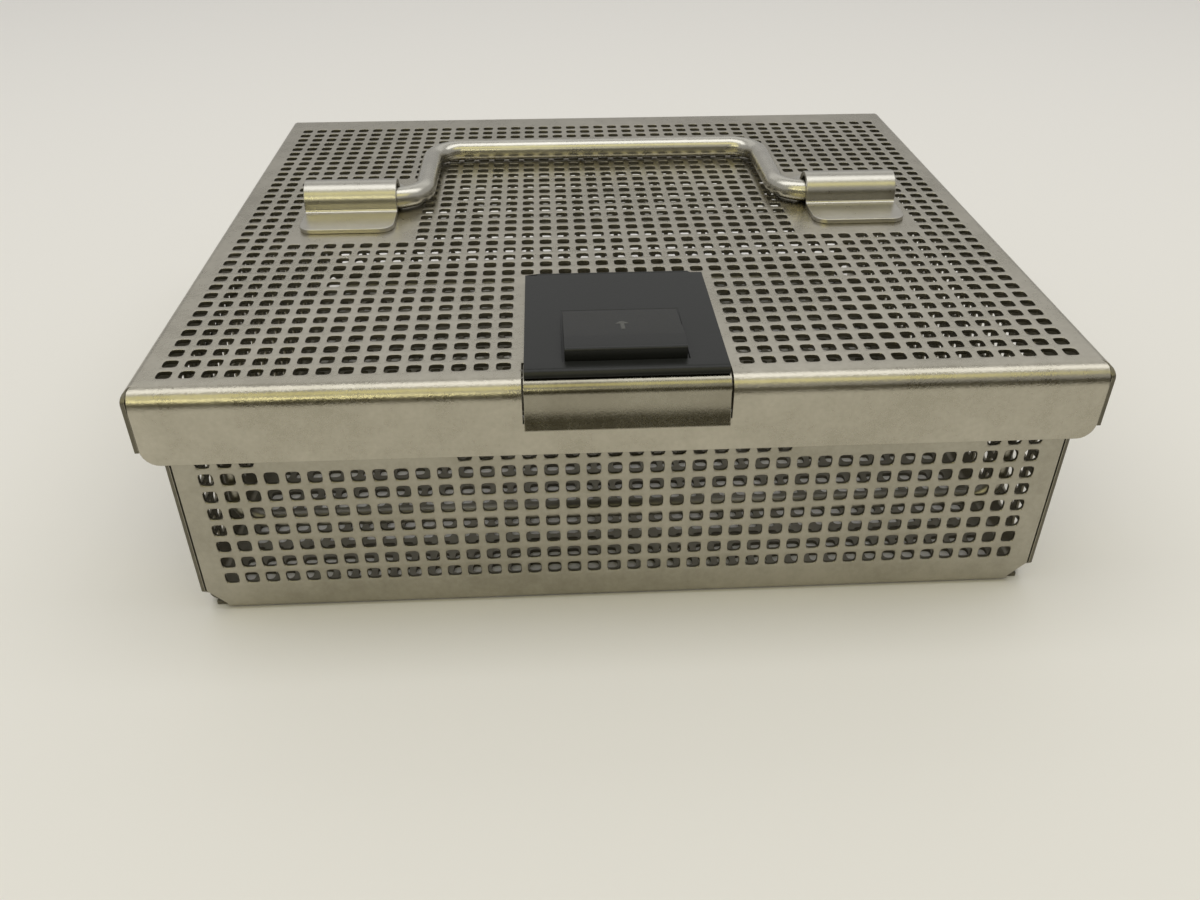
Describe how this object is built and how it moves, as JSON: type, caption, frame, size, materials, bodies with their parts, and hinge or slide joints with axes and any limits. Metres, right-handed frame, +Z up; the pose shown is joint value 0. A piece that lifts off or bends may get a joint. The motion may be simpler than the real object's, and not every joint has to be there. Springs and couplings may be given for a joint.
{
  "type": "dental instrument cassette",
  "caption": "Perforated steel sterilisation cassette: open tray, hinged skirted lid with folding rod handle, black sliding latch at the front and drop handles inside the tray.",
  "frame": {"origin": "middle of the underside of the tray floor, where the cassette stands", "axes": "+X to the right seen from the front, -Y is the front with the latch, +Z is up"},
  "size_m": [0.2644, 0.2371, 0.0898],
  "materials": {
    "sheet_steel": "satin, electropolished",
    "fitting_steel": "satin",
    "rod_steel": "smooth satin",
    "cover_steel": "satin",
    "spring_steel": "bright",
    "black_plastic": "satin, moulded"
  },
  "bodies": {
    "tray": {"tray": "sheet_steel", "strike_plate": "fitting_steel", "tray_bracket_front_left": "fitting_steel", "tray_bracket_front_right": "fitting_steel", "tray_bracket_rear_left": "fitting_steel", "tray_bracket_rear_right": "fitting_steel", "tray_hinge_leaf_left": "fitting_steel", "tray_hinge_leaf_right": "fitting_steel"},
    "front_drop_handle": {"tray_handle_front": "rod_steel"},
    "rear_drop_handle": {"tray_handle_rear": "rod_steel"},
    "lid": {"lid": "sheet_steel", "lid_bracket_left": "fitting_steel", "lid_bracket_right": "fitting_steel", "lid_hinge_leaf_left": "fitting_steel", "lid_hinge_leaf_right": "fitting_steel", "hinge_pin_left": "rod_steel", "hinge_pin_right": "rod_steel", "latch_cover": "cover_steel", "latch_rail_left": "fitting_steel", "latch_rail_right": "fitting_steel", "spring_stop": "fitting_steel", "latch_spring_left": "spring_steel", "latch_spring_right": "spring_steel"},
    "carry_handle": {"lid_handle": "rod_steel"},
    "latch": {"latch_slider": "black_plastic", "latch_bolt": "fitting_steel", "latch_rivets": "rod_steel"}
  },
  "joints": [
    {"name": "lid_hinge", "type": "hinge", "parent": "tray", "child": "lid", "pos_m": [0, 0.11595, 0.05365], "axis": [-1, 0, 0], "range_deg": [0, 110]},
    {"name": "carry_handle_pivot", "type": "hinge", "parent": "lid", "child": "carry_handle", "pos_m": [0, 0.0093, 0.0831], "axis": [1, 0, 0], "range_deg": [0, 170]},
    {"name": "latch_slide", "type": "slide", "parent": "lid", "child": "latch", "axis": [0, 1, 0], "range_m": [0, 0.008], "stiffness_N_per_m": 600, "springref_m": -0.004, "deforming": ["latch_spring_left", "latch_spring_right"]},
    {"name": "front_drop_handle_pivot", "type": "hinge", "parent": "tray", "child": "front_drop_handle", "pos_m": [0, -0.1086, 0.0625], "axis": [1, 0, 0], "range_deg": [0, 80]},
    {"name": "rear_drop_handle_pivot", "type": "hinge", "parent": "tray", "child": "rear_drop_handle", "pos_m": [0, 0.1086, 0.0625], "axis": [-1, 0, 0], "range_deg": [0, 80]}
  ]
}
